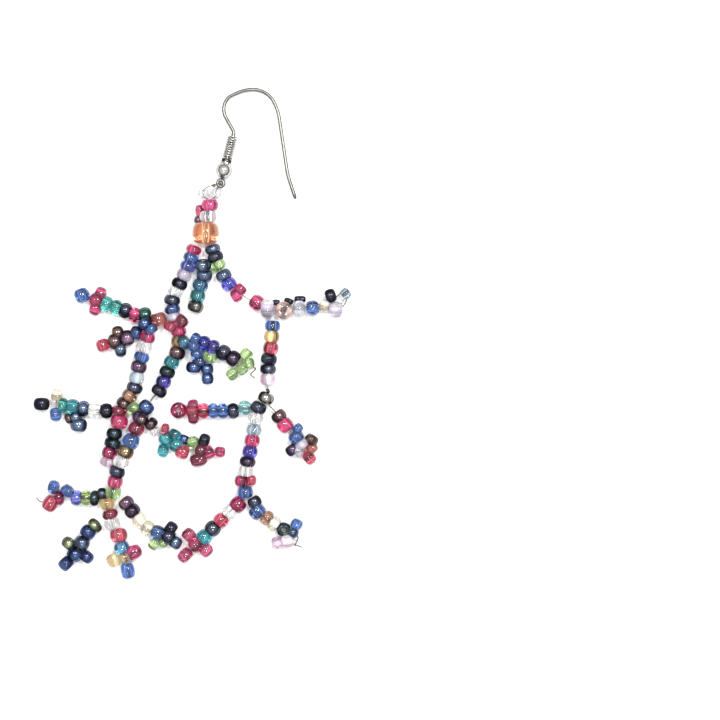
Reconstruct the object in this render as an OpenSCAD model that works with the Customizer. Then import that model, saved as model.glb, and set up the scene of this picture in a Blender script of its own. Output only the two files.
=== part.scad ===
// A drop earring of branching strands of glass seed beads on a French ear hook.
// It lies flat: +X is right, +Y is up towards the hook, +Z is up off the surface it rests on, in millimetres.
// The origin is below the middle of the whole, on that surface.

/* [Strands] */
// Diameter of a seed bead, and of each strand of them
bead_d = 2.9; // [2.2:0.1:2.9]
// Diameter of the smaller beads that stand out sideways at the end of a branch
side_bead_d = 2.6; // [2:0.1:2.6]
// Number of flat sides of a strand
strand_sides = 8; // [8:2:12]

/* [Main beads] */
// Diameter of the orange bead that the strands hang from
orange_d = 5.2; // [4.4:0.1:5.2]
// Length of the orange bead along its hole
orange_len = 4; // [3.4:0.1:4]
// Diameter of the pink and crystal beads above the orange one
column_d = 3.3; // [2.6:0.1:3.3]
// Length of the pink and crystal beads along their holes
column_len = 2.1; // [1.6:0.1:2.1]
// Diameter of the two clear beads under the ear hook
clear_d = 2.2; // [1.8:0.1:2.2]
// Length of the two clear beads along their holes
clear_len = 1.4; // [1.2:0.1:1.4]
// Diameter of the hole through every main bead
hole_d = 1; // [0.8:0.1:1.2]

/* [Corner beads] */
// Diameter of the lilac bead at the corner of the right strand
lilac_d = 4.1; // [3:0.1:4.1]
// Length of the lilac bead along its hole
lilac_len = 2.5; // [2:0.1:2.5]
// Diameter of the peach bead that lies on its flat side
peach_d = 3.5; // [3:0.1:3.5]
// Length of the peach bead along its hole
peach_len = 2.3; // [2:0.1:2.4]
// Diameter of the white bead beside it
white_d = 3.4; // [3:0.1:3.4]
// Length of the white bead along its hole
white_len = 2.2; // [1.6:0.1:2.2]

/* [Ear hook] */
// Diameter of the hook's wire
wire_d = 0.7; // [0.6:0.05:0.7]
// Radius of the eye's bend, to the middle of the wire
eye_r = 0.6; // [0.6:0.02:0.62]
// Diameter of the ball on the shank
ball_d = 3; // [2.6:0.1:3]
// Diameter of the ball's neck
neck_d = 1.9; // [1.6:0.1:2]
// Height of the neck above the ball
neck_h = 0.7; // [0.4:0.1:0.8]
// Diameter of the coil's own wire
coil_wire_d = 0.34; // [0.3:0.02:0.38]
// Length of the coil along the shank
coil_len = 4.4; // [4:0.1:4.6]
// Number of turns in the coil
coil_turns = 9; // [7:1:10]
// Running clearance of the ball round the wire
wire_gap = 0.1; // [0.08:0.01:0.12]
// Clearance of the loose coil round the wire
coil_gap = 0.3; // [0.1:0.02:0.32]

/* [Thread] */
// Diameter of the doubled thread that carries the main beads
thread_d = 0.3; // [0.2:0.05:0.3]

/* [Hidden] */

// Colours of the plain solids
STEEL = "silver";
DARK_GLASS = "#37405c";
BLUE_GLASS = "#3d57b0";
PINK_GLASS = "#b52a5c";

// Smoothness of the round beads and wires
round_fn = 48;

// Where the hook's wire passes through the middle of the ball, and its first direction from there in degrees
BALL = [6.1, 31.2];
SHANK_DIRECTION = 75.4;
// The hook's wire from the middle of the ball: length of each stretch, and how far it turns left in degrees
HOOK = [
    [7.1, 0],     // shank, through the ball and the coil
    [0.75, 44],   // kink above the coil
    [2.7, 0],     // rise
    [4, -68],     // back of the bend
    [0.75, -25],  // shoulder
    [1.3, 0],     // slope
    [3.6, -30],   // crown
    [4.35, -58],  // front of the bend
    [3.45, -20],  // ease into the leg
    [9.6, 0],     // leg
    [2.6, 10],    // flare
    [3.4, 0]      // straight tip
];
LEG = 9;
TIP = 11;
// The bent wire has flat sides, a hair inside the round tip, and a corner every few degrees of a bend
WIRE_SIDES = 12;
BEND_STEP = 6;
EYE_STEPS = 24;
// Half of the opening in the eye's ring that the shank fills, in degrees, and the reach into the round tip
EYE_OPENING = 8;
tip_step = 0.01;
tip_reach_in = 0.2;
// Distance from the middle of the ball to the middle of the eye, and to the foot of the coil
eye_drop = ball_d / 2 + 0.1 + eye_r + wire_d / 2;
coil_foot = ball_d / 2 + neck_h + 0.15;
coil_r = wire_d / 2 + coil_gap + coil_wire_d / 2;
COIL_STEPS = 12;
COIL_SIDES = 6;

// The main beads: place of the middle, and how far the hole turns from the +Y direction, to the left
ORANGE = [2.7, 19.2, orange_d / 2];
CRYSTAL = [3.1, 22.35, orange_d / 2 - 0.5];
PINK = [3.4, 24.6, column_d / 2];
CLEAR_LEFT = [2.1, 26.9, clear_d / 2];
CLEAR_RIGHT = [4.5, 26.85, clear_d / 2];
LILAC = [14.35, 4.9, lilac_d / 2];
PEACH = [17.45, 4.6, peach_len / 2];
WHITE = [20.4, 4.8, white_d / 2];

// Route of the hanging thread: up through the beads, over and under the eye's wire, and back
THREAD = [
    [2.7, 17.5, ORANGE[2]], [2.7, 19.2, ORANGE[2]], [2.86, 21.15, ORANGE[2] - 0.2],
    [2.93, 21.35, ORANGE[2] - 0.29], CRYSTAL, [3.18, 23.4, 1.86], [3.2, 23.6, 1.8],
    [3.2, 24.6, 1.65], [3.2, 25.6, 1.55], [3, 25.85, 1.45], [2.7, 25.95, 1.32],
    [2.35, 26.1, 1.2], [2.15, 26.4, 1.1], [2.1, 26.9, 1.1], [2.2, 27.5, 1.15], [2.7, 27.95, 1.35],
    [3.6, 28.2, 1.75], [4.6, 28.5, 2.15], [5, 28.6, 2.25], [5.32, 28.7, 2.18], [5.45, 28.72, 1.95],
    [5.47, 28.73, 1.6], [5.46, 28.7, 1.25], [5.38, 28.6, 1], [5.15, 28.35, 0.9], [4.9, 28.1, 0.9],
    [4.6, 27.6, 1.05], [4.5, 26.85, 1.1], [4.4, 26.4, 1.1], [4.2, 25.95, 1.25], [3.85, 25.9, 1.4],
    [3.6, 25.6, 1.5], [3.6, 24.6, 1.65]
];

// Strands: name, then the middle line as [x, y] or [x, y, lift off the surface]
STRANDS = [
    ["left_strand", [
        [0.6, 16.9], [-0.9, 13.6], [-1.6, 11.1], [-2.7, 9], [-3.9, 6.4], [-3.7, 4.3], [-2.3, -0.1],
        [-2.6, -3.3], [-4.1, -5.6], [-6, -10.5], [-9.4, -14.7], [-10.4, -17.6], [-11.5, -20.2, 0.8],
        [-12.7, -22.9, 1.4], [-14.1, -26.1, 1.5], [-14.7, -29, 0.6], [-15.1, -30.9]
    ]],
    ["second_left_strand", [
        [-8.3, 1.2], [-8.1, 0.3], [-9, -2], [-9.6, -4.5], [-10.3, -6.7], [-10.8, -10.2],
        [-13.9, -14.5], [-14.5, -17], [-14.9, -20], [-15.8, -22.9], [-16.3, -25]
    ]],
    ["middle_strand", [[2.1, 14, 1.5], [2.5, 11.1, 0.4], [1.4, 9], [0.5, 4.3]]],
    ["right_upper_strand", [[3.7, 16.9], [5.1, 12.8], [7.3, 9], [8.8, 7.9], [12.4, 5.8]]],
    ["right_strand", [
        [15.4, 2.6], [15, -2.6], [14.5, -5.2], [14.2, -12.1], [12.5, -13.9], [12.1, -16.2],
        [11.2, -21.6], [10.1, -26.1], [10.1, -31]
    ]]
];

// Branches: name, middle line to the outer end, then each short crosspiece of side beads from end to end
BRANCHES = [
    ["upper_left_branch",
        [[-5.8, 2.9], [-8.6, 3.8], [-10.6, 3.5], [-12.4, 4.5], [-16, 5.7], [-22.1, 7.9]],
        [[[-17, 9], [-18.8, 3.7]]]],
    ["second_left_branch",
        [[-11.2, -0.3], [-14.8, -1.4], [-18.1, -2.4]],
        [[[-14.3, 1.6], [-13.4, -4.2]]]],
    ["middle_left_branch",
        [[-16, -14.5], [-20.5, -14.1], [-26, -13.2], [-30.1, -13.2]],
        [[[-25.6, -10.3], [-26, -16.5]], [[-21.3, -14.7], [-21.4, -18.4]]]],
    ["cluster_branch",
        [[-7.5, -17], [-6.6, -18.2], [-4.6, -20], [-2.1, -21.4], [0.4, -21.9], [6.1, -22.3]],
        [[[2.7, -18.9], [0.8, -25.2]], [[-4.6, -17], [-5.7, -23.3]]]],
    ["centre_branch",
        [[-0.2, -0.7], [2.3, -1.7], [4.4, -2.5], [6.7, -3.9], [11.2, -6.4]],
        [[[10.8, -2.8], [6.6, -8.5]]]],
    ["centre_lower_branch",
        [[0.9, -4.2], [2.4, -6.4], [3.1, -9.5]],
        [[[-0.9, -6.6], [3.1, -5.8]]]],
    ["low_left_branch",
        [[-17.8, -31.1], [-25.6, -30.9], [-28.6, -32]],
        [[[-26.1, -27.7], [-27.2, -33.9]]]],
    ["low_branch",
        [[-16, -31.8], [-15.2, -36], [-13.3, -40.6], [-12.5, -42.8], [-12, -46.4]],
        [[[-16.1, -43.4], [-9.5, -40.9]]]],
    ["corner_left_branch",
        [[-17.8, -35.7], [-19.8, -37.5], [-22, -41.5], [-24.5, -44.2]],
        [[[-24.5, -38.7], [-18.9, -42.2]]]],
    ["low_right_branch",
        [[-12.9, -31.5], [-9.5, -35.8], [-8, -37.2], [-4.6, -38.3], [-2.9, -39.3]],
        [[[-3.8, -35.6], [-7.9, -40.7]]]],
    ["upper_right_branch",
        [[21.7, 5], [24.3, 5.1], [28.8, 4.5]],
        [[[27.4, 4.3], [25.9, 8.6]], [[27.6, 4.3], [29.7, 8.2]]]],
    ["inner_branch",
        [[10.3, -14.1], [8.1, -14.5], [-4.1, -14.5]],
        [[[0.2, -12.3], [0.3, -17]]]],
    ["outer_branch",
        [[15, -14.5], [19.8, -19.5], [23.4, -24.5]],
        [[[23.9, -19.3], [17.9, -22.5]]]],
    ["foot_left_branch",
        [[9.1, -31.9], [5.3, -35.5], [2.4, -38.4], [-2.4, -43]],
        [[[-0.8, -37], [3.6, -41.3]]]],
    ["foot_right_branch",
        [[11.3, -31.5], [12.6, -33.5], [15.8, -36.1], [19.9, -39.3]],
        [[[19.9, -35.1], [15.3, -40.4]]]]
];

// Heading of the hook's wire where stretch i starts
function heading(i) = i == 0 ? SHANK_DIRECTION : heading(i - 1) + HOOK[i - 1][1];

// Straight distance covered by a stretch that bends by turn degrees
function chord(len, turn) = turn == 0 ? len : 2 * bend_r(len, turn) * sin(abs(turn) / 2);

// Radius of a stretch that bends by turn degrees
function bend_r(len, turn) = len * 180 / PI / abs(turn);

// Unit vector at an angle in the hook's plane
function toward(angle) = [cos(angle), sin(angle)];

// Place, from the middle of the ball, where stretch i starts
function start(i) = i == 0 ? [0, 0] : wire_point(i - 1, 1);

// Place on stretch i, at a share of its length
function wire_point(i, share) =
    start(i) + chord(share * HOOK[i][0], share * HOOK[i][1]) * toward(heading(i) + share * HOOK[i][1] / 2);

// Middle line of the bent wire, from inside the eye's ring to just inside the tip, and that of the ring
WIRE_ROUTE = [
    each [(eye_r - eye_drop) * toward(SHANK_DIRECTION)],
    for (i = [0 : TIP - 1])
        let (count = max(1, ceil(abs(HOOK[i][1]) / BEND_STEP)))
            for (k = [0 : count - 1])
                wire_point(i, k / count),
    each [start(TIP), start(TIP) + tip_reach_in * toward(heading(TIP))]
];
EYE_ROUTE = [
    for (k = [0 : EYE_STEPS])
        eye_r * toward(SHANK_DIRECTION + EYE_OPENING + (360 - 2 * EYE_OPENING) * k / EYE_STEPS)
            - eye_drop * toward(SHANK_DIRECTION)
];

// Direction of the leg, and the tilt that lays the tip on the surface with the ball beside it
leg_turn = toward(heading(LEG));
tip = start(len(HOOK));
tip_reach = abs(tip[0] * leg_turn[1] - tip[1] * leg_turn[0]);
hook_tilt = asin((ball_d - wire_d) / 2 / tip_reach);

// Unit vector along v
function unit(v) = v / norm(v);

// Middle of a strand at a route's point, with the bead's underside on the surface or lifted off it
function raised(p, d) = [p[0], p[1], d / 2 + (len(p) > 2 ? p[2] : 0)];

// Direction of a route at its point i
function along(route, i) = unit(
    route[min(i + 1, len(route) - 1)] - route[max(i - 1, 0)]
);

// Ring of corners round a route's point, across the route, with one corner straight down, or turned from there
function ring(p, direction, r, sides, turned) =
    let (
        side = unit(cross(direction, [0, 0, 1])),
        up = cross(side, direction)
    )
    [
        for (k = [0 : sides - 1])
            let (angle = 360 * k / sides - 90 + turned)
                p + r * (cos(angle) * side + sin(angle) * up)
    ];

// A tube swept along a route of [x, y] or [x, y, z] points, closed by a flat face at both ends
module swept(route, r, sides, turned = 0) {
    line = [for (p = route) [p[0], p[1], len(p) > 2 ? p[2] : 0]];
    count = len(line);
    corners = [for (i = [0 : count - 1]) each ring(line[i], along(line, i), r, sides, turned)];
    walls = [
        for (i = [0 : count - 2])
            for (k = [0 : sides - 1])
                let (next = (k + 1) % sides)
                    each [
                        [i * sides + k, i * sides + next, (i + 1) * sides + next],
                        [i * sides + k, (i + 1) * sides + next, (i + 1) * sides + k]
                    ]
    ];
    near = [for (k = [0 : sides - 1]) sides - 1 - k];
    far = [for (k = [0 : sides - 1]) (count - 1) * sides + k];
    polyhedron(corners, concat(walls, [near, far]));
}

// A strand of seed beads, as a tube of their diameter
module strand(route, d = bead_d) {
    swept([for (p = route) raised(p, d)], d / 2, strand_sides);
}

// A branch: its strand, crossed near the end by the side beads
module branch(row) {
    color(DARK_GLASS)
        union() {
            strand(row[1]);
            for (crosspiece = row[2])
                strand(crosspiece, side_bead_d);
        }
}

// A round bead with flat ends, drilled along its own Z axis
module drilled_bead(d, length) {
    difference() {
        intersection() {
            sphere(d = d, $fn = round_fn);
            cube([2 * d, 2 * d, length], center = true);
        }
        cylinder(d = hole_d, h = 2 * length, center = true, $fn = round_fn);
    }
}

// A main bead at its place, with its hole turned to the left of +Y
module lying_bead(place, turn, d, length) {
    translate(place)
        rotate([-90, 0, turn])
            drilled_bead(d, length);
}

// Puts what is drawn round the middle of the ball where the hook lies
module on_hook() {
    translate([BALL[0], BALL[1], ball_d / 2])
        rotate(a = -hook_tilt, v = [leg_turn[0], leg_turn[1], 0])
            children();
}

// The wire of the ear hook, from the eye below the ball to its straight round tip
module ear_hook() {
    color(STEEL)
        on_hook()
            union() {
                swept(WIRE_ROUTE, wire_d / 2 - tip_step, WIRE_SIDES);
                swept(EYE_ROUTE, wire_d / 2 - tip_step, WIRE_SIDES, 180 / WIRE_SIDES);
                translate([start(TIP)[0], start(TIP)[1], 0])
                    rotate([0, 90, heading(TIP)])
                        cylinder(d = wire_d, h = HOOK[TIP][0], $fn = round_fn);
            }
}

// The coil wound round the shank above the ball
module hook_coil() {
    steps = coil_turns * COIL_STEPS;
    route = [
        for (i = [0 : steps])
            let (angle = 360 * i / COIL_STEPS, climb = (coil_len - coil_wire_d) * i / steps)
                [coil_r * cos(angle), coil_r * sin(angle), coil_wire_d / 2 + climb]
    ];
    color(STEEL)
        on_hook()
            rotate([0, 90, SHANK_DIRECTION])
                translate([0, 0, coil_foot])
                    swept(route, coil_wire_d / 2, COIL_SIDES);
}

// The ball on the shank, with the neck that the coil stands on
module hook_ball() {
    color(STEEL)
        on_hook()
            rotate([0, 90, SHANK_DIRECTION])
                difference() {
                    union() {
                        sphere(d = ball_d, $fn = round_fn);
                        cylinder(d = neck_d, h = ball_d / 2 + neck_h, $fn = round_fn);
                    }
                    cylinder(d = wire_d + 2 * wire_gap, h = 3 * ball_d, center = true, $fn = round_fn);
                }
}

// The thread that ties the beads to the eye
module hanging_thread() {
    color("ivory")
        swept(THREAD, thread_d / 2, strand_sides);
}

module clear_bead_left() {
    color("white")
        lying_bead(CLEAR_LEFT, 0, clear_d, clear_len);
}

module clear_bead_right() {
    color("white")
        lying_bead(CLEAR_RIGHT, 0, clear_d, clear_len);
}

module pink_bead() {
    color(PINK_GLASS)
        lying_bead(PINK, 0, column_d, column_len);
}

module crystal_bead() {
    color("gainsboro")
        lying_bead(CRYSTAL, 0, column_d, column_len);
}

module orange_bead() {
    color("coral")
        lying_bead(ORANGE, 0, orange_d, orange_len);
}

module lilac_bead() {
    color("thistle")
        lying_bead(LILAC, 90, lilac_d, lilac_len);
}

// The peach bead lies on its flat side with its hole upright
module peach_bead() {
    color("peachpuff")
        translate(PEACH)
            drilled_bead(peach_d, peach_len);
}

module white_bead() {
    color("white")
        lying_bead(WHITE, 90, white_d, white_len);
}

ear_hook();
hook_coil();
hook_ball();
hanging_thread();
clear_bead_left();
clear_bead_right();
pink_bead();
crystal_bead();
orange_bead();
lilac_bead();
peach_bead();
white_bead();
for (row = STRANDS)
    color(BLUE_GLASS)
            strand(row[1]);
for (row = BRANCHES)
    branch(row);
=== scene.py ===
"""A seed bead drop earring lying flat, dressed with glass beads, thread and a wire ear hook."""

import math
import random
from collections import namedtuple

import bpy
from mathutils import Matrix, Vector


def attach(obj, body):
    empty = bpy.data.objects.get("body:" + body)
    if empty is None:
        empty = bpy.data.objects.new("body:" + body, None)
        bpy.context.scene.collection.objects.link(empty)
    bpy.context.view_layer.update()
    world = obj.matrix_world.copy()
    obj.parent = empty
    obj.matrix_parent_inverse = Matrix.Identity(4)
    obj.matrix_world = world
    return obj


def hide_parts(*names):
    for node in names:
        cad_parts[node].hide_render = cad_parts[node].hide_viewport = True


# Sizes and places are in millimetres, with Z = 0 on the surface that the earring lies on
MM = 0.001
UP = Vector((0, 0, 1))
RANDOM_SEED = 11

# Width of the part's tubes, which the beads of strands and of crosspieces replace
STRAND_TUBE = 2.9
CROSSPIECE_TUBE = 2.6

# Seed beads of a string: width across the hole, how far it strays, how much of its share of the string a
# bead fills, the least and greatest length along the hole, and the least gap under the bead
BEAD_WIDTH = 3.06
WIDTH_SPREAD = 0.06
BEAD_FILL = 1.02
SHORTEST_BEAD = 1.6
LONGEST_BEAD = 2.25
STRING_CLEARANCE = 0.03

# The bead across a branch's tip, and the beads of crosspieces, with their distance from the end
TIP_LENGTH = 2.3
TIP_FILL = 1.05
CROSSPIECE_WIDTH = 2.7
CROSSPIECE_LENGTH = 1.95
CROSSPIECE_INSET = 1.3

# Every bead: sides round it, the least gap under it, radius of its hole, and how many times wider than
# that radius a narrow bead is
SIDES = 16
BEAD_CLEARANCE = 0.01
HOLE_RADIUS = 0.5
NARROW_HOLE = 5

# Half of a bead's outline, from the rim of its hole to its middle: share of the glass's thickness, share of
# half its length
HALF_OUTLINE = [(0, 0.8), (0.14, 0.96), (0.36, 1), (0.6, 0.91), (0.8, 0.71), (0.94, 0.41), (1, 0)]

# How far a bead strays from its colour's brightness, and its streaks' waves: number round it, strength
TINT_SPREAD = 0.15
STREAK_WAVES = [(2, 0.4), (3, 0.3), (5, 0.3)]

# How far round its corners a line of beads or of thread is rounded, and how much of a rounded place comes
# from the line's own point and from each of the two points at that reach
BEAD_REACH = 0.9
THREAD_REACH = 0.3
OWN_SHARE = 0.6
REACH_SHARE = 0.2

# How far beads of a string and loose beads are turned at random, and what share of that up or down
STRING_TURN = 0.09
LOOSE_TURN = 0.05
RISING_SHARE = 0.4

# Upward part from which a direction counts as upright
UPRIGHT = 0.9

# The two plies of a thread: radius, distance from its middle, length of one turn, distance between points
# and fewest steps, sides
PLY_RADIUS = 0.07
PLY_OFFSET = 0.07
PLY_TURN = 1.1
PLY_STEP = 0.3
PLY_LEAST_STEPS = 3
PLY_SIDES = 6

# Kinds of bead: how the surface takes light, how strong its purple sheen is, how much of its colour word's
# brightness the bead keeps, how strongly it is streaked, and whether its hole has a lining of its own. The
# last kind is that lining.
Kind = namedtuple("Kind", "metallic transmission roughness ior sheen brightness streaks lined")
KINDS = {
    "glass": Kind(0, 0.85, 0.04, 1.52, 0, 0.9, 1, False),
    "dark": Kind(0.85, 0, 0.12, 1.52, 0.3, 0.75, 1, True),
    "metal": Kind(0.95, 0, 0.16, 1.52, 0, 0.75, 1, False),
    "milky": Kind(0, 0.7, 0.05, 1.52, 0, 1, 1, True),
    "clear": Kind(0, 0.9, 0.03, 1.46, 0, 1.2, 0.1, False),
    "crystal": Kind(0, 0.95, 0.03, 1.5, 0, 1.2, 0.1, False),
    "lining": Kind(0, 0, 0.3, 1.52, 0, 1, 1, True),
}

# Every bead's look: the edge colour of a metallic one, its gloss, the colour of the sheen, its least and
# greatest roughness as shares of the kind's, and the mesh layer that holds the beads' own colours
BEAD_EDGE = (0.25, 0.25, 0.26, 1)
BEAD_GLOSS = 0.8
SHEEN_COLOUR = (0.06, 0.03, 0.13, 1)
BEAD_ROUGHNESS = (0.6, 1.5)
COLOUR_LAYER = "bead_colour"

# Metal, thread and floor: dark and light colour, roughness, metal or not, fineness of the noise, its
# stretch along X, Y and Z, and height of the bumps
Plain = namedtuple("Plain", "low high roughness metallic scale stretch bump")
PLAIN = {
    "thread": Plain("#6e6a60", "#aaa498", 0.6, 0, 2600, (1, 1, 1), 0.01),
    # A darker thread, used for the hanging thread and the loose ends
    "old_thread": Plain("#34322c", "#6a665c", 0.6, 0, 2600, (1, 1, 1), 0.01),
    "wire": Plain("#5e5e5c", "#7a7973", 0.3, 1, 500, (1, 0.2, 1), 0.01),
    "coil": Plain("#a6a4a0", "#c8c6c0", 0.22, 1, 800, (1, 1, 1), 0.01),
    # The neck's dark colour is painted shade where the coil meets the ball
    "neck": Plain("#2e2d2b", "#55534f", 0.25, 1, 420, (1, 1, 1), 0.02),
    "ball": Plain("#a8a6a2", "#cccac4", 0.14, 1, 420, (1, 1, 1), 0.02),
    "floor": Plain("#f2f1f0", "#f8f8f8", 0.7, 0, 60, (1, 1, 1), 0.05),
}

# Edge colour of the metals, least and greatest roughness as shares of the look's, and where in the noise
# the dark colour ends and the light one starts
METAL_EDGE = (0.3, 0.3, 0.31, 1)
PLAIN_ROUGHNESS = (0.6, 1.4)
PLAIN_RANGE = (0.3, 0.7)

# Colour words: the glass, its colour at the hole or its lining, and the kind of bead
PALETTE = {
    "pink": ("#e05a8e", "#ffb4d2", "glass"),
    "hotpink": ("#ee68a4", "#ffbce0", "glass"),
    "rose": ("#e07098", "#f8b4c8", "glass"),
    "pinkred": ("#e0607c", "#ffa8b8", "glass"),
    "darkred": ("#aa4a66", "#d88498", "glass"),
    "magenta": ("#ae3468", "#e07aa4", "glass"),
    "salmon": ("#d88880", "#f4bcb0", "glass"),
    "coral": ("#ee7c92", "#ffb0b4", "glass"),
    "orange": ("#f8ae84", "#fff0b8", "glass"),
    "amber": ("#f2cc94", "#fff0c8", "milky"),
    "copper": ("#b89078", "#ecc4a0", "glass"),
    "brown": ("#74605a", "#94827a", "dark"),
    "brownblack": ("#544a5a", "#6a5a66", "dark"),
    "purplebrown": ("#80687a", "#a48694", "dark"),
    "darkpurple": ("#6a5484", "#7e6c94", "dark"),
    "blue": ("#6083c0", "#a8c4ff", "glass"),
    "blueviolet": ("#6a6cd8", "#b0b0ff", "glass"),
    "periwinkle": ("#8088dc", "#c0c4ff", "glass"),
    "violet": ("#5c50b4", "#9a90e8", "glass"),
    "sky": ("#7cbcf0", "#d0f0ff", "glass"),
    "lightblue": ("#dcecfa", "#8ca4bc", "milky"),
    "navy": ("#526490", "#7084b8", "dark"),
    "indigo": ("#4448a8", "#8488dc", "glass"),
    "slate": ("#687890", "#7a8ca4", "dark"),
    "dark": ("#505460", "#5c626e", "dark"),
    "black": ("#363840", "#40434e", "dark"),
    "blackgreen": ("#425052", "#566466", "dark"),
    "teal": ("#56b8c4", "#a8ecec", "glass"),
    "seablue": ("#5c94b4", "#a4cce0", "glass"),
    "darkteal": ("#44949a", "#94ccd0", "glass"),
    "paleteal": ("#b4e8ec", "#e8ffff", "glass"),
    "emerald": ("#5cc4bc", "#a4f0e8", "glass"),
    "darkgreen": ("#426058", "#587c74", "dark"),
    "lime": ("#c4e6a4", "#e8ffd8", "glass"),
    "olive": ("#bcd08c", "#e4f0c4", "glass"),
    "darkolive": ("#7c8268", "#8c9078", "dark"),
    "cream": ("#ffecd0", "#fffaf4", "milky"),
    "sand": ("#fadcae", "#fff4dc", "milky"),
    "clear": ("#ffffff", "#ffffff", "clear"),
    "silver": ("#8a8882", "#c8c8c8", "metal"),
    "crystal": ("#fdfdfd", "#fdfdfd", "crystal"),
    "lilac": ("#f0e6f8", "#8c7c9c", "milky"),
    "paleblue": ("#c8dcec", "#7c8ca0", "glass"),
    "palepink": ("#fcdcf0", "#fff4fc", "milky"),
    "white": ("#f2f0f8", "#c4c0d4", "milky"),
    "peach": ("#dcc0b8", "#2c1c20", "milky"),
    "bronze": ("#ac9470", "#c8b090", "dark"),
}

# Strands: the middle line as [x, y] or [x, y, lift], the beads in order, with *1.2 for one that takes 1.2
# times the usual length, a gap where loose beads or bare thread lie, and the loose beads: place, direction
# of the hole in degrees or None if upright, colour, width, length
STRANDS = {
    "left_strand": (
        [
            [0.6, 16.9], [-0.4, 13.9], [-1.5, 11.3], [-2.7, 9], [-3.9, 6.4], [-3.7, 4.3], [-2.3, -0.1],
            [-2.6, -3.3], [-4.1, -5.6], [-6, -10.5], [-9.4, -14.7], [-10.4, -17.6], [-11.5, -20.2, 0.8],
            [-12.7, -22.9, 1.4], [-14.1, -26.1, 1.5], [-14.7, -29, 0.6], [-15.1, -30.9],
        ],
        "pink*0.85 blue*0.9 periwinkle*0.9 lilac black*0.95 clear*0.85 dark*0.95 blue*0.9 lilac*0.7 "
        "pink*0.7 pink*0.9 bronze*1.15 brown*1.15 darkteal*1.1 blackgreen violet*1.05 black gap*0.95 "
        "navy*1.2 darkpurple*1.2 darkred*1.2 gap*1.4 bronze*1.1 clear*1.1 dark pink*1.1 lime*1.15",
        [
            ((-1.7, 2.6, 2.9), 40, "darkred", 2.6, 1.8),
            ((-4, 1.5, 2.2), 60, "pinkred", 2.7, 1.9),
            ((-1.4, -1.5, 2.4), 35, "seablue", 2.9, 2.2),
            ((-11.5, -20.3, 2.5), 70, "blue", 3.3, 2.8),
            ((-17.1, -30.2, 1.5), 0, "blackgreen", 2.2, 1.6),
            ((-11.2, -14, 2.2), -50, "lime", 2.7, 1.9),
            ((-9.4, -16.1, 2.9), -20, "brown", 2.5, 1.8),
        ],
    ),
    "second_left_strand": (
        [
            [-8.3, 1.2], [-8.1, 0.3], [-9, -2], [-9.6, -4.5], [-10.3, -6.7], [-10.8, -10.2],
            [-13.9, -14.5], [-14.5, -17], [-14.9, -20], [-15.8, -22.9], [-16.3, -25],
        ],
        "gap*0.5 pink*0.95 clear*1.1 blue*0.95 purplebrown*1.1 lightblue*1.1 dark*0.95 copper brown*0.9 "
        "darkred*0.85 gap*1.4 blackgreen blackgreen*0.95 magenta*1.1 palepink*0.8",
        [
            ((-13.8, -16.6, 1.75), 80, "pink", 3.4, 2.5),
            ((-8.75, 2.1, 3.1), -55, "navy", 2.7, 1.8),
            ((-7.7, 1, 2.3), -60, "blue", 2.6, 1.8),
        ],
    ),
    "middle_strand": (
        [[2.1, 14, 1.5], [2.5, 11.1, 0.4], [1.4, 9], [0.5, 4.3]],
        "slate slate seablue darkteal silver",
        [],
    ),
    "right_upper_strand": (
        [[3.7, 16.9], [5.1, 12.8], [7.3, 9], [8.8, 7.9], [12.4, 5.8]],
        "slate*0.8 dark lime*0.9 gap*0.2 slate*1.1 blueviolet*1.1 gap*3.15",
        [
            ((9.2, 8.6, 1.6), 50, "pink", 2.4, 1.8),
            ((8.4, 7.4, 1.4), 30, "pink", 2.5, 1.9),
            ((12.3, 6.05, 1.6), -35, "pink", 3.1, 2.5),
        ],
    ),
    "right_strand": (
        [
            [15.4, 2.6], [15, -2.6], [14.5, -5.2], [14.2, -12.1], [12.5, -13.9], [12.1, -16.2],
            [11.2, -21.6], [10.1, -26.1], [10.1, -31],
        ],
        "blue amber*1.1 pinkred*1.15 blackgreen*1.05 dark*0.9 palepink*1.1 gap*0.8 silver gap*0.2 "
        "dark*1.1 clear*1.2 paleblue pink*1.1 violet*1.1 brownblack*0.9 clear gap blue*1.1",
        [
            ((9.35, -27.8, 1.45), 88, "magenta", 2.6, 2),
            ((11.3, -27.7, 1.3), 92, "pinkred", 1.9, 1.8),
            ((14.3, -9.4, 1.3), 80, "black", 0.9, 0.5),
            ((14.4, -10.7, 1.3), 20, "black", 1, 0.6),
        ],
    ),
}

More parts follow.
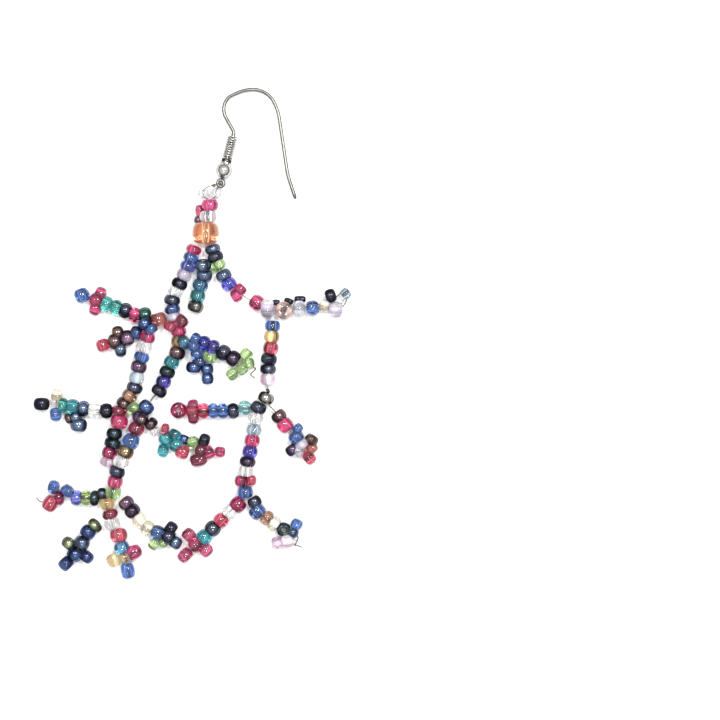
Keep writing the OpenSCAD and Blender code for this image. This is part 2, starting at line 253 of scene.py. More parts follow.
# Branches: the middle line, the beads in order, the tip bead, each crosspiece from end to end with its two
# beads, either of them empty where it is a loose bead or missing, and the loose beads as above
BRANCHES = {
    "upper_left_branch": (
        [[-5.8, 2.9], [-8.6, 3.8], [-10.6, 3.5], [-12.4, 4.5], [-16, 5.7], [-22.1, 7.9]],
        "gap*1.1 darkgreen*1.1 pink dark emerald*0.9 emerald pink*1.2 gap*1.5", "",
        [([-17, 9], [-18.8, 3.7], "pink", "pink")],
        [((-6.3, 2.85, 1.6), 110, "salmon", 3, 2.5), ((-20.9, 7.45, 1.5), 108, "blue", 2.9, 2.6)],
    ),
    "second_left_branch": (
        [[-11.2, -0.3], [-14.8, -1.4], [-18.1, -2.4]],
        "purplebrown*1.2 gap*0.1 brown*1.2", "pinkred*1.3",
        [([-14.3, 1.6], [-13.4, -4.2], "brown", "slate")],
        [((-10.6, 0.35, 1.8), -20, "navy", 2.6, 2)],
    ),
    "middle_left_branch": (
        [[-16, -14.5], [-20.5, -14.1], [-26, -13.2], [-30.1, -13.2]],
        "gap*0.7 clear*1.2 slate teal*1.2 emerald*0.7 gap", "black*1.6",
        [([-25.6, -10.3], [-26, -16.5], "cream", "blue"), ([-21.3, -14.7], [-21.4, -18.4], "", "")],
        [
            ((-16.25, -14.5, 1.6), 0, "black", 2.95, 2.1),
            ((-23.4, -15.9, 1.2), 15, "brown", 2.1, 1.5),
            ((-21.9, -15.7, 2.3), 50, "slate", 2.2, 1.5),
            ((-21.5, -17.2, 1.6), 85, "slate", 3.2, 2.4),
        ],
    ),
    "cluster_branch": (
        [[-7.5, -17], [-6.6, -18.2], [-4.6, -20], [-2.1, -21.4], [0.4, -21.9], [6.1, -22.3]],
        "gap*1.2 teal*1.2 teal*1.1 gap*1.2 darkred gap*1.6", "",
        [([2.7, -18.9], [0.8, -25.2], "dark", ""), ([-4.6, -17], [-5.7, -23.3], "", "teal")],
        [
            ((-7.7, -17, 1.8), -40, "brown", 2.7, 1.8),
            ((-6.9, -18.4, 1.3), -55, "clear", 2.3, 1.3),
            ((-3.2, -19, 2), 60, "teal", 2.5, 1.9),
            ((-5, -17.9, 2.3), -10, "pinkred", 2.2, 1.4),
            ((-1.4, -19.9, 1.6), 65, "navy", 2, 1.5),
            ((-1.8, -22.3, 2), 165, "pinkred", 2.7, 2.4),
            ((0.25, -20.5, 1.9), 10, "lime", 2.5, 2),
            ((1.25, -23.8, 1.5), 15, "darkred", 2.6, 3),
            ((3.2, -22.4, 1.4), 20, "pink", 2.6, 1.9),
            ((5.3, -22.3, 1.25), 85, "pink", 2.1, 1.9),
        ],
    ),
    "centre_branch": (
        [[-0.2, -0.7], [2.3, -1.7], [4.4, -2.5], [6.7, -3.9], [11.2, -6.4]],
        "blue*0.9 indigo*1.1 violet gap*0.1 dark*1.2 brownblack*1.2 gap*1.5", "",
        [([10.8, -2.8], [6.6, -8.5], "", "")],
        [
            ((10.35, -3.7, 1.4), 50, "lime", 2.4, 1.95),
            ((10.75, -5.5, 1.4), 105, "lime", 2.35, 1.9),
            ((9.4, -6.6, 1.4), 35, "lime", 2.35, 1.9),
            ((7.6, -7.6, 1.4), 35, "lime", 2.35, 1.9),
        ],
    ),
    "centre_lower_branch": (
        [[0.9, -4.2], [2.4, -6.4], [3.1, -9.5]],
        "blue*0.6 gap*1.1", "",
        [([-0.9, -6.6], [3.1, -5.8], "", "")],
        [
            ((0.4, -2.3, 3.5), 115, "blue", 2.4, 1.8),
            ((1.1, -3.7, 2.9), 115, "blue", 2.5, 1.8),
            ((0.3, -6.25, 1.5), 85, "navy", 2.9, 2),
            ((2.9, -6.6, 1.5), 95, "navy", 2.4, 1.9),
            ((3.5, -4.4, 2.4), 75, "lime", 2.7, 1.8),
            ((2.95, -8.4, 1.3), 95, "navy", 2.3, 2),
        ],
    ),
    "low_left_branch": (
        [[-17.8, -31.1], [-25.6, -30.9], [-28.6, -32]],
        "blackgreen*0.7 olive periwinkle gap*0.8 magenta*0.8 gap*1.5", "",
        [([-26.1, -27.7], [-27.2, -33.9], "blue", "")],
        [((-23.5, -29.7, 1.8), 40, "blue", 2.8, 1.9), ((-26.9, -32.1, 1.6), 60, "pinkred", 3, 2.8)],
    ),
    "low_branch": (
        [[-16, -31.8], [-15.2, -36], [-13.3, -40.6], [-12.5, -42.8], [-12, -46.4]],
        "gap*0.8 darkred*0.9 clear*1.1 gap*1.4 sky*1.2 sand*0.8 gap*1.8", "",
        [([-16.1, -43.4], [-9.5, -40.9], "", "")],
        [
            ((-16.1, -32.1, 1.7), -80, "amber", 2.9, 2.1),
            ((-13.9, -38.1, 1.7), -80, "coral", 3.4, 2.5),
            ((-14.9, -42.8, 1.4), 110, "sand", 2.7, 2.4),
            ((-11.1, -41.4, 1.5), 25, "pink", 2.8, 2.9),
            ((-12.2, -44.9, 1.45), -82, "blue", 2.7, 2.8),
        ],
    ),
    "corner_left_branch": (
        [[-17.8, -35.7], [-19.8, -37.5], [-22.2, -41.8], [-24.9, -44.4]],
        "darkolive*0.8 navy*1.1 slate*1.3 navy*1.2", "navy*1.3",
        [([-24.5, -38.9], [-19, -43], "darkolive", "navy")],
        [],
    ),
    "low_right_branch": (
        [[-12.9, -31.5], [-9.5, -35.8], [-8, -37.2], [-4.6, -38.3], [-2.9, -39.3]],
        "gap*0.8 brownblack*1.1 cream*1.3 cream*0.9 blue*1.3 dark*1.1 gap*0.4", "",
        [([-3.8, -35.6], [-7.9, -40.7], "", "lime")],
        [
            ((-12.5, -32, 1.6), -50, "purplebrown", 3, 2.1),
            ((-4, -36.8, 1.5), -35, "black", 2.6, 2.1),
            ((-3.2, -39.5, 1.4), 60, "slate", 2.6, 2.1),
            ((-5.6, -39.4, 1.3), 40, "lime", 2.4, 1.7),
        ],
    ),
    "upper_right_branch": (
        [[21.7, 5], [24.3, 5.1], [28.8, 4.5]],
        "blue*1.3 gap*2.5", "",
        [([27.4, 4.3], [25.9, 8.6], "", "black"), ([27.6, 4.3], [29.7, 8.2], "", "")],
        [
            ((25.1, 5.5, 1.3), -15, "cream", 2.4, 1.8),
            ((27.3, 4.7, 1.6), 0, "lilac", 3.1, 2.6),
            ((29.2, 7.8, 1.2), 40, "paleblue", 2.2, 1.7),
            ((15.95, 6.15, 0.56), 0, "black", 1.1, 1.3),
            ((18.35, 6.4, 0.56), -20, "black", 1.1, 1.7),
            ((20.5, 6.75, 0.66), 0, "black", 1.3, 2.1),
        ],
    ),
    "inner_branch": (
        [[10.3, -14.1], [8.1, -14.5], [-4.1, -14.5]],
        "gap*0.8 dark blue blue*0.9 pinkred pinkred*1.2 gap*1.6", "",
        [([0.2, -12.3], [0.3, -17], "pink", "magenta")],
        [((-2.6, -14.4, 1.05), None, "magenta", 3.25, 2), ((9.95, -13.9, 1.6), 0, "paleteal", 2.9, 2.2)],
    ),
    "outer_branch": (
        [[15, -14.5], [19.8, -19.5], [23.4, -24.5]],
        "gap*3 blue*1.3 lilac*0.6 gap*2", "",
        [([23.9, -19.3], [17.9, -22.5], "", "brownblack")],
        [
            ((16.5, -15.5, 1.5), -50, "brown", 2.95, 2),
            ((17.7, -17.2, 1.5), -50, "pink", 3.1, 2.5),
            ((20.05, -17.9, 1.9), -50, "blue", 2.3, 1.7),
            ((20.2, -22.2, 1.6), 20, "lilac", 2.4, 1.6),
            ((22.7, -20, 1.5), 60, "brown", 2.6, 1.9),
            ((22.8, -21.7, 1.4), 115, "salmon", 2.3, 1.5),
            ((22.3, -23.4, 1.45), 40, "pinkred", 2.7, 2.1),
        ],
    ),
    "foot_left_branch": (
        [[9.1, -31.9], [5.3, -35.5], [2.4, -38.4], [-2.4, -43]],
        "gap*0.7 clear*1.3 pinkred*1.1 dark*1.2 teal*1.1 rose*1.3", "rose*1.6",
        [([-0.8, -37], [3.6, -41.3], "", "")],
        [
            ((8.7, -32.3, 1.7), 45, "magenta", 3.2, 2.6),
            ((-0.6, -38.05, 1.4), 45, "rose", 2.6, 2.2),
            ((2.65, -40.95, 1.4), 40, "rose", 2.6, 2.3),
        ],
    ),
    "foot_right_branch": (
        [[11.3, -31.5], [12.6, -33.5], [15.8, -36.1], [19.9, -39.3]],
        "gap*1.9 copper*0.9 cream*0.9 gap*2.4", "",
        [([19.9, -35.1], [15.3, -40.4], "", "")],
        [
            ((11.9, -31.8, 1.6), -60, "dark", 2.7, 2),
            ((12.4, -33.6, 1.7), -45, "blue", 3.3, 2.5),
            ((17.4, -37.1, 1.1), None, "blackgreen", 2.8, 2),
            ((19.9, -36, 1.4), 60, "blue", 2.3, 1.8),
            ((19.2, -37.6, 1.5), 60, "slate", 2.2, 1.6),
            ((18.1, -39.2, 1.35), 10, "palepink", 2.7, 2.2),
            ((16.1, -39.6, 1.3), 10, "palepink", 2.5, 1.9),
        ],
    ),
}

# Loose ends and loops of thread
TAILS = {
    "low_left_branch": [[(-28.4, -31.9, 0.8), (-29.2, -31.8, 0.4), (-29.85, -31, 0.3)]],
    "centre_branch": [[(11, -5.9, 0.6), (12.2, -6.5, 0.3), (10.9, -7.6, 0.3), (12, -8.4, 0.3)]],
    "upper_right_branch": [
        [(24.3, 4.8, 1.4), (25, 5.7, 1.2), (25.9, 7, 1.2)],
        [(27, 6.8, 1), (28.3, 7.9, 1), (29.2, 8, 1)],
        [(29.4, 7.4, 1), (29.4, 6.4, 0.8), (28.6, 5.2, 1)],
    ],
    "cluster_branch": [[(-6.4, -10.8, 1.4), (-7.2, -11.7, 1.4), (-8, -12.6, 1.4)]],
    "outer_branch": [[(14.6, -13.5, 1.4), (15.2, -14, 1.4), (16, -14.9, 1.4)]],
    "foot_right_branch": [
        [(18.6, -40, 0.5), (19.4, -40.1, 0.3), (20.3, -40.3, 0.3), (20.9, -40.6, 0.3)],
        [(19.2, -37.6, 0.8), (20.2, -38.6, 0.3), (19.9, -39.5, 0.3), (19.5, -40.1, 0.3)],
    ],
}

# The large beads: node, slot, colour, place, direction of the hole in degrees or None if upright, width,
# length, and how rounded the ends are, 1 as the seed beads and less if fuller
MAIN_BEADS = [
    ("orange_bead", "orange_glass", "orange", (2.7, 19.2, 2.6), 90, 5.16, 4, 0.6),
    ("crystal_bead", "crystal_glass", "crystal", (3.1, 22.35, 2.1), 90, 3.3, 2.1, 1),
    ("pink_bead", "pink_glass", "hotpink", (3.4, 24.6, 1.65), 90, 3.3, 2.1, 1),
    ("clear_bead_left", "clear_glass", "clear", (2.1, 26.9, 1.1), 90, 2.2, 1.4, 1),
    ("clear_bead_right", "clear_glass", "clear", (4.5, 26.85, 1.1), 90, 2.2, 1.4, 1),
    ("lilac_bead", "lilac_glass", "lilac", (14.35, 4.9, 2.05), 180, 4.1, 2.5, 1),
    ("peach_bead", "peach_glass", "peach", (17.45, 4.6, 1.15), None, 3.5, 2.3, 1),
    ("white_bead", "white_glass", "white", (20.4, 4.8, 1.7), 180, 3.4, 2.2, 1),
]

# Two beads half hidden beside the pink and the crystal bead, as loose beads above
SIDE_BEADS = [((1.4, 23.6, 0.85), 96, "rose", 1.7, 2.1), ((1.25, 21.8, 0.9), 75, "purplebrown", 1.8, 1.4)]

# Route of the hanging thread, from inside the orange bead through the hook's eye and back to the pink bead
THREAD = [
    (2.7, 17.5, 2.6), (2.7, 19.2, 2.6), (2.86, 21.15, 2.4), (2.93, 21.35, 2.31), (3.1, 22.35, 2.1),
    (3.18, 23.4, 1.86), (3.2, 23.6, 1.8), (3.2, 24.6, 1.65), (3.2, 25.6, 1.55), (3, 25.85, 1.45),
    (2.7, 25.95, 1.32), (2.35, 26.1, 1.2), (2.15, 26.4, 1.1), (2.1, 26.9, 1.1), (2.2, 27.5, 1.15),
    (2.7, 27.95, 1.35), (3.6, 28.2, 1.75), (4.6, 28.5, 2.15), (5, 28.6, 2.25), (5.32, 28.7, 2.18),
    (5.45, 28.72, 1.95), (5.47, 28.73, 1.6), (5.46, 28.7, 1.25), (5.38, 28.6, 1), (5.15, 28.35, 0.9),
    (4.9, 28.1, 0.9), (4.6, 27.6, 1.05), (4.5, 26.85, 1.1), (4.4, 26.4, 1.1), (4.2, 25.95, 1.25),
    (3.85, 25.9, 1.4), (3.6, 25.6, 1.5), (3.6, 24.6, 1.65),
]

# Where that thread is wound round itself, in a knot and inside the crystal bead: start, end, turns
WINDINGS = [((3.95, 28.18, 1.85), (4.4, 28.38, 2.05), 3), ((3.1, 21.6, 2.12), (3.1, 23.1, 2.08), 9)]
WINDING_RADIUS = 0.2
WINDING_PLY = 0.11
WINDING_STEPS = 12

# The hook's wire from the middle of the ball: length of each stretch, and how far it turns left in degrees
HOOK = [
    (7.1, 0), (0.75, 44), (2.7, 0), (4, -68), (0.75, -25), (1.3, 0), (3.6, -30), (4.35, -58),
    (3.45, -20), (9.6, 0), (2.6, 10), (3.4, 0),
]

# Greatest length, and greatest turn in degrees, from one point of the wire to the next
HOOK_STEP = 0.5
HOOK_STEP_TURN = 4

# The wire: radius, share of that at its end, sides, and its eye's ring: radius, how far it lies below the
# ball's middle, and points round it
WIRE_RADIUS = 0.33
WIRE_TIP = 0.6
WIRE_SIDES = 14
EYE_RADIUS = 0.6
EYE_DROP = 2.55
EYE_STEPS = 24

# How the hook lies: middle of the ball, directions of shank and leg in degrees, and its tilt about the leg
BALL_PLACE = Vector((6.1, 31.2, 1.5))
SHANK_DIRECTION = 75.4
LEG_DIRECTION = -81.6
HOOK_TILT = 5.213

# The coil's wire, wound on the shank above the ball
COIL_START = 2.35
COIL_LENGTH = 4.4
COIL_TURNS = 9
COIL_RADIUS = 0.82
COIL_WIRE = 0.14
COIL_STEPS = 24
COIL_SIDES = 10

# The ball's outline: the rim of its hole, the round part in degrees, the shoulder and the neck, with radius
# and height of points
BALL_RADIUS = 1.5
BALL_ARC = range(-70, 51, 8)
BALL_RIM = (0.45, -1.43)
BALL_SHOULDER = (0.95, 1.25)
BALL_NECK = [(0.92, 1.5), (0.95, 1.75), (0.95, 2.05), (0.88, 2.18), (0.7, 2.2), (0.45, 2.2)]
BALL_SIDES = 32

# The camera, which looks straight down
CAMERA_PLACE = Vector((31.92, -4.845, 324.5))
CAMERA_LENS = 85
CAMERA_SENSOR = 36
CAMERA_NEAREST = 10

# The lamps: name, place in metres, size in metres, power in watts
LAMPS = [
    ("key", (0.16, 0.14, 0.46), 0.11, 1.7),
    ("spark_left", (-0.1, 0.12, 0.46), 0.06, 0.9),
    ("spark_low", (0.06, -0.16, 0.46), 0.05, 0.5),
]

# The floor, which reaches far round the earring and lies just under it
FLOOR_REACH = 600
FLOOR_DROP = 0.02

# The sky: height up to which it is dark and height from which it is white, each with its colour, its
# strength, and the backdrop's colour
SKY_DARK = (0.12, (0.05, 0.05, 0.055, 1))
SKY_WHITE = (0.6, (1, 1, 1, 1))
SKY_STRENGTH = 1.1
BACKDROP_COLOUR = (0.86, 0.86, 0.87, 1)

rng = random.Random(RANDOM_SEED)
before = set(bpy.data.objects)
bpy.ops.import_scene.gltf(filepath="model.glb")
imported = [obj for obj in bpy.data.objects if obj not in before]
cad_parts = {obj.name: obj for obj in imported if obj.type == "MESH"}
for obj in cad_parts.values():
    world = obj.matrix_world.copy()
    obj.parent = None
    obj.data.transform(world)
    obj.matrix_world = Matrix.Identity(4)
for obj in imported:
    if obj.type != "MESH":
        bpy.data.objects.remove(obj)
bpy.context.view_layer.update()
scene = bpy.context.scene


def linear(code):
    """A colour's linear values from its hexadecimal code."""
    values = [int(code[i:i + 2], 16) / 255 for i in (1, 3, 5)]
    return [v / 12.92 if v <= 0.04045 else ((v + 0.055) / 1.055) ** 2.4 for v in values]


def toward(degrees):
    """A level direction at an angle left of +X."""
    angle = math.radians(degrees)
    return Vector((math.cos(angle), math.sin(angle), 0))


def across(direction):
    """Two unit vectors at right angles to a direction and to each other."""
    helper = UP if abs(direction.z) < UPRIGHT else Vector((1, 0, 0))
    side = direction.cross(helper).normalized()
    return side, direction.cross(side).normalized()


def turns(count, start=0):
    """Angles evenly round a circle."""
    return [start + 2 * math.pi * k / count for k in range(count)]


def ring(middle, radius, side, up, angles):
    """Corners of a ring in metres."""
    return [(middle + radius * (math.cos(a) * side + math.sin(a) * up)) * MM for a in angles]


def streak_tones(strength):
    """How light each side of a bead is, from waves that start at random places round it."""
    waves = [(count, size * strength, rng.uniform(0, 2 * math.pi)) for count, size in STREAK_WAVES]
    return [
        1 + sum(size * math.cos(count * angle + start) for count, size, start in waves)
        for angle in turns(SIDES)
    ]


def bead_outline(bulge):
    """A bead's outline from end to end, as shares of its glass's thickness and of half its length."""
    half = [(share, along ** bulge) for share, along in HALF_OUTLINE]
    return [(share, -along) for share, along in half] + half[-2::-1]


def rested(place, axis, width, length):
    """A bead's place, raised if the bead would otherwise cut into the surface."""
    lowest = width / 2 * math.sqrt(1 - min(1, axis.z ** 2)) + length / 2 * abs(axis.z) + BEAD_CLEARANCE
    return Vector((place.x, place.y, max(place.z, lowest)))


class Batch:
    """Corners and faces of many small shapes that become one mesh, and which of its looks each face has."""

    def __init__(self):
        self.corners = []
        self.faces = []
        self.looks = []
        self.colours = []

    def rings(self, rings, looks, closed):
        """Joins rings of corners by faces, with one material for each band between two rings."""
        first = len(self.corners)
        count = len(rings[0])
        for corners in rings:
            self.corners += corners
        for j in range(len(rings) if closed else len(rings) - 1):
            here = first + j * count
            there = first + (j + 1) % len(rings) * count
            for k in range(count):
                after = (k + 1) % count
                self.faces.append((here + k, here + after, there + after, there + k))
                self.looks.append(looks[j])

    def bead(self, place, axis, width, length, word, bulge=1):
        """A drilled glass bead with rounded ends and streaks along its hole, turned about that hole."""
        glass, at_hole, name = PALETTE[word]
        kind = KINDS[name]
        tint = rng.uniform(1 - TINT_SPREAD, 1 + TINT_SPREAD) * kind.brightness
        glass = [v * tint for v in linear(glass)]
        at_hole = [v * tint for v in linear(at_hole)]
        tones = streak_tones(kind.streaks)
        angles = turns(SIDES, rng.uniform(0, 2 * math.pi))
        place = rested(place, axis, width, length)
        side, up = across(axis)
        hole = min(HOLE_RADIUS, width / NARROW_HOLE)
        outline = bead_outline(bulge)
        rings = []
        for share, along in outline:
            middle = place + axis * along * length / 2
            rings.append(ring(middle, hole + share * (width / 2 - hole), side, up, angles))
            colour = glass if share else at_hole
            self.colours += [[min(1, v * tone) for v in colour] for tone in tones]
        names = list(KINDS)
        inner = names.index("lining" if kind.lined else name)
        self.rings(rings, [names.index(name)] * (len(outline) - 1) + [inner], True)

    def tube(self, points, radius, sides, look=0, tip=1, closed=False):
        """A round tube along points without needless twist, whose last ring has a share of its radius."""
        count = len(points)
        first = len(self.corners)
        rings = []
        side = None
        for i, point in enumerate(points):
            ahead = points[(i + 1) % count] if closed else points[min(i + 1, count - 1)]
            behind = points[i - 1] if closed else points[max(i - 1, 0)]
            direction = (ahead - behind).normalized()
            if side is None:
                side = across(direction)[0]
            side = (side - direction * side.dot(direction)).normalized()
            thick = radius * tip if i == count - 1 else radius
            rings.append(ring(point, thick, side, direction.cross(side), turns(sides)))
        self.rings(rings, [look] * count, closed)
        if not closed:
            self.faces.append(tuple(first + k for k in reversed(range(sides))))
            self.faces.append(tuple(len(self.corners) - sides + k for k in range(sides)))
            self.looks += [look, look]

    def piece(self, name, materials, slot, *nodes):
        """Makes the mesh, which rides on the part and takes the place of the named solids."""
        mesh = bpy.data.meshes.new(name)
        mesh.from_pydata(self.corners, [], self.faces)
        for material in materials:
            mesh.materials.append(material)
        mesh.polygons.foreach_set("material_index", self.looks)
        mesh.polygons.foreach_set("use_smooth", [True] * len(self.faces))
        if self.colours:
            colour = mesh.attributes.new(COLOUR_LAYER, "FLOAT_COLOR", "POINT")
            colour.data.foreach_set("color", [v for c in self.colours for v in (*c, 1.0)])
        mesh.update()
        obj = bpy.data.objects.new(name, mesh)
        scene.collection.objects.link(obj)
        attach(obj, "root")
        if nodes:
            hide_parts(*nodes)


class Look:
    """A new material and the nodes that are added to it."""

    def __init__(self, name, metallic, edge):
        self.material = bpy.data.materials.new(name)
        self.material.use_nodes = True
        self.nodes = self.material.node_tree.nodes
        self.links = self.material.node_tree.links
        self.shader = self.nodes["Principled BSDF"]
        self.shader.inputs["Metallic"].default_value = metallic
        if metallic:
            self.shader.inputs["Specular Tint"].default_value = edge
        self.place = self.nodes.new("ShaderNodeTexCoord").outputs["Object"]

    def noise(self, place, scale, detail):
        """Noise of a fineness and a detail."""
        texture = self.nodes.new("ShaderNodeTexNoise")
        texture.inputs["Scale"].default_value = scale
        texture.inputs["Detail"].default_value = detail
        self.links.new(place, texture.inputs["Vector"])
        return texture.outputs["Fac"]

    def ranged(self, value, low, high, start=0, end=1):
        """A value between start and end, mapped to between low and high."""
        node = self.nodes.new("ShaderNodeMapRange")
        node.inputs["From Min"].default_value = start
        node.inputs["From Max"].default_value = end
        node.inputs["To Min"].default_value = low
        node.inputs["To Max"].default_value = high
        self.links.new(value, node.inputs["Value"])
        return node.outputs["Result"]

    def surface(self, colour, height, low, high, strength, depth):
        """The material with its colour, a roughness between low and high, and fine bumps."""
        self.links.new(colour, self.shader.inputs["Base Color"])
        self.links.new(self.ranged(height, low, high), self.shader.inputs["Roughness"])
        bump = self.nodes.new("ShaderNodeBump")
        bump.inputs["Strength"].default_value = strength
        bump.inputs["Distance"].default_value = depth * MM
        self.links.new(height, bump.inputs["Height"])
        self.links.new(bump.outputs["Normal"], self.shader.inputs["Normal"])
        return self.material


def bead_material(name, kind):
    """A glossy bead in its own uneven colour, with fine bumps and for some kinds a purple sheen."""
    look = Look("bead_" + name, kind.metallic, BEAD_EDGE)
    look.shader.inputs["Transmission Weight"].default_value = kind.transmission
    look.shader.inputs["IOR"].default_value = kind.ior
    look.shader.inputs["Specular IOR Level"].default_value = BEAD_GLOSS
    own = look.nodes.new("ShaderNodeAttribute")
    own.attribute_name = COLOUR_LAYER
    cloud = look.noise(look.place, scale=900, detail=3)
    uneven = look.nodes.new("ShaderNodeHueSaturation")
    look.links.new(own.outputs["Color"], uneven.inputs["Color"])
    look.links.new(look.ranged(cloud, low=0.86, high=1.14, start=0.3, end=0.7), uneven.inputs["Value"])
    colour = uneven.outputs["Color"]
    if kind.sheen:
        patches = look.noise(look.place, scale=420, detail=2)
        mix = look.nodes.new("ShaderNodeMix")
        mix.data_type = "RGBA"
        mix.inputs["B"].default_value = SHEEN_COLOUR
        sheen = look.ranged(patches, low=0, high=kind.sheen, start=0.45, end=0.75)
        look.links.new(sheen, mix.inputs["Factor"])
        look.links.new(colour, mix.inputs["A"])
        colour = mix.outputs["Result"]
    low, high = (kind.roughness * share for share in BEAD_ROUGHNESS)
    return look.surface(colour, cloud, low, high, strength=0.25, depth=0.04)


def plain_material(name, plain):
    """Metal, thread or floor: a colour between two, with roughness and bumps from the same noise."""
    look = Look(name, plain.metallic, METAL_EDGE)
    mapping = look.nodes.new("ShaderNodeMapping")
    mapping.inputs["Scale"].default_value = plain.stretch
    look.links.new(look.place, mapping.inputs["Vector"])
    noise = look.noise(mapping.outputs["Vector"], plain.scale, detail=4)
    ramp = look.nodes.new("ShaderNodeValToRGB")
    for element, position, code in zip(ramp.color_ramp.elements, PLAIN_RANGE, (plain.low, plain.high)):
        element.position = position
        element.color = (*linear(code), 1)
    look.links.new(noise, ramp.inputs["Fac"])
    low, high = (plain.roughness * share for share in PLAIN_ROUGHNESS)
    return look.surface(ramp.outputs["Color"], noise, low, high, strength=0.4, depth=plain.bump)


def raised(point, width):
    """Middle of a strand at a route's point, with its underside on the surface or lifted off it."""
    lift = point[2] if len(point) > 2 else 0
    return Vector((point[0], point[1], width / 2 + lift))


def line_length(points):
    """Length of a line of points."""
    return sum((b - a).length for a, b in zip(points, points[1:]))


def walk(points, distance):
    """Place and direction at a distance along a line of points."""
    for a, b in zip(points, points[1:]):
        span = (b - a).length
        if distance <= span:
            return a.lerp(b, distance / span), (b - a).normalized()
        distance -= span
    return points[-1], (points[-1] - points[-2]).normalized()


def smoothed(points, distance, reach):
    """Place and direction on a line whose corners are rounded over a reach."""
    near = walk(points, max(0, distance - reach))[0]
    far = walk(points, min(line_length(points), distance + reach))[0]
    place = walk(points, distance)[0]
    rounded = place * OWN_SHARE + near * REACH_SHARE + far * REACH_SHARE
    return rounded, (far - near).normalized()


def jittered(axis, amount):
    """An axis turned a little at random."""
    nudge = Vector((rng.uniform(-1, 1), rng.uniform(-1, 1), rng.uniform(-RISING_SHARE, RISING_SHARE)))
    return (axis + amount * nudge).normalized()


def tokens_of(words):
    """Pairs of colour word and share from words such as blue or blue*1.2."""
    return [(w.split("*")[0], float(w.split("*")[1]) if "*" in w else 1.0) for w in words.split()]


def string_beads(batch, points, words, tip=""):
    """Beads side by side along a line, in the order of the words, and a last bead across its end."""
    tokens = tokens_of(words)
    tip, tip_share = tokens_of(tip)[0] if tip else ("", 0)
    pitch = line_length(points) / (sum(share for _, share in tokens) + tip_share)
    reached = 0
    for word, share in tokens:
        place, direction = smoothed(points, reached + share * pitch / 2, BEAD_REACH)
        reached += share * pitch
        if word == "gap":
            continue
        width = BEAD_WIDTH + rng.uniform(-WIDTH_SPREAD, WIDTH_SPREAD)
        place.z = max(place.z - (STRAND_TUBE - width) / 2, width / 2 + STRING_CLEARANCE)
        length = min(LONGEST_BEAD, max(SHORTEST_BEAD, pitch * share * BEAD_FILL))
        batch.bead(place, jittered(direction, STRING_TURN), width, length, word)
    if tip:
        place, direction = walk(points, reached + tip_share * pitch / 2)
        axis = Vector((-direction.y, direction.x, 0)).normalized()
        width = min(BEAD_WIDTH, tip_share * pitch * TIP_FILL)
        batch.bead(place, jittered(axis, STRING_TURN), width, TIP_LENGTH, tip)


def loose_beads(batch, rows):
    """Beads at places of their own, each with its hole's direction in degrees, or upright."""
    for place, turn, word, width, length in rows:
        axis = UP if turn is None else jittered(toward(turn), LOOSE_TURN)
        batch.bead(Vector(place), axis, width, length, word)


def plies(batch, points, look=0):
    """Two twisted plies of thread along a line."""
    total = line_length(points)
    steps = max(PLY_LEAST_STEPS, round(total / PLY_STEP))
    for half in (0, math.pi):
        route = []
        for i in range(steps + 1):
            place, direction = smoothed(points, total * i / steps, THREAD_REACH)
            side, up = across(direction)
            turn = half + 2 * math.pi * total * i / steps / PLY_TURN
            route.append(place + PLY_OFFSET * (math.cos(turn) * side + math.sin(turn) * up))
        batch.tube(route, PLY_RADIUS, PLY_SIDES, look)


def winding(batch, start, end, count):
    """Thread wound round itself from start to end, in a count of turns."""
    side, up = across((end - start).normalized())
    steps = count * WINDING_STEPS
    route = []
    for i in range(steps + 1):
        turn = 2 * math.pi * i / WINDING_STEPS
        reach = WINDING_RADIUS * (math.cos(turn) * side + math.sin(turn) * up)
        route.append(start.lerp(end, i / steps) + reach)
    batch.tube(route, WINDING_PLY, PLY_SIDES)


def crosspiece(beads, thread, start, end, words):
    """Two beads across a branch and the thread between them, with an empty word for a bead left out."""
    start = raised(start, CROSSPIECE_TUBE)
    end = raised(end, CROSSPIECE_TUBE)
    direction = (end - start).normalized()
    stem = Vector((-direction.y, direction.x, 0))
    places = [start + direction * CROSSPIECE_INSET, end - direction * CROSSPIECE_INSET]
    for word, place in zip(words, places):
        if word:
            width = CROSSPIECE_WIDTH + rng.uniform(-WIDTH_SPREAD, WIDTH_SPREAD) / 2
            beads.bead(place, jittered(stem, STRING_TURN), width, CROSSPIECE_LENGTH, word)
    plies(thread, places)


def add_strand(name, route, words, loose):
    """A strand's beads, and its thread."""
    points = [raised(p, STRAND_TUBE) for p in route]
    beads = Batch()
    string_beads(beads, points, words)
    loose_beads(beads, loose)
    beads.piece(name + "_beads", bead_materials, "strand_beads", name)
    thread = Batch()
    plies(thread, points)
    thread.piece(name + "_thread", [plain_materials["thread"]], "thread")


def add_branch(name, route, words, tip, crosspieces, loose):
    """A branch's beads with those of its crosspieces, and its thread with its loose ends."""
    points = [raised(p, STRAND_TUBE) for p in route]
    beads = Batch()
    thread = Batch()
    string_beads(beads, points, words, tip)
    loose_beads(beads, loose)
    plies(thread, points)
    for start, end, first, last in crosspieces:
        crosspiece(beads, thread, start, end, (first, last))
    for tail in TAILS.get(name, []):
        plies(thread, [Vector(p) for p in tail], 1)
    beads.piece(name + "_beads", bead_materials, "branch_beads", name)
    threads = [plain_materials["thread"], plain_materials["old_thread"]]
    thread.piece(name + "_thread", threads, "thread")


def add_main_bead(node, slot, word, place, turn, width, length, bulge):
    """One of the large beads."""
    beads = Batch()
    beads.bead(Vector(place), UP if turn is None else toward(turn), width, length, word, bulge)
    beads.piece(node + "_glass", bead_materials, slot, node)


def add_side_beads():
    """The two half hidden beads."""
    beads = Batch()
    loose_beads(beads, SIDE_BEADS)
    beads.piece("side_beads_glass", bead_materials, "strand_beads")


